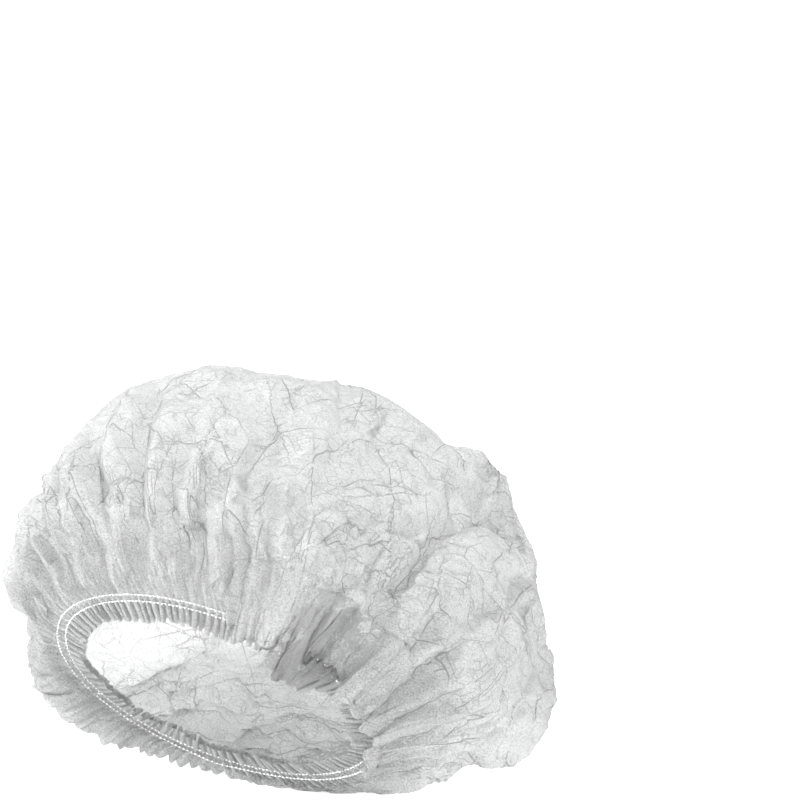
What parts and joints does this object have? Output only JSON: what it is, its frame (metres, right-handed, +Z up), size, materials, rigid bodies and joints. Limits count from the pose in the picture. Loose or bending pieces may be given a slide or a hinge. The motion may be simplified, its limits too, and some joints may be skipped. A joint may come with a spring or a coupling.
{
  "type": "disposable hair cover cap",
  "caption": "Puffy single-use hair cap of pleated non-woven cloth, lying open on its side, with a gathered mouth and an elastic edge.",
  "frame": {"origin": "on the surface the cap lies on, under the middle of the whole cap", "axes": "+Z up, -Y the way the mouth faces, +X along the cap's width, to the right of a viewer who looks into the mouth"},
  "size_m": [0.2428, 0.211, 0.1728],
  "materials": {
    "non_woven_cloth": "matte",
    "white_elastic": "matte",
    "fused_cloth": "satin"
  },
  "bodies": {
    "root": {"crown": "non_woven_cloth", "frill": "non_woven_cloth", "elastic_outer": "white_elastic", "elastic_inner": "white_elastic", "end_seal_right": "fused_cloth", "end_seal_left": "fused_cloth"}
  },
  "joints": []
}
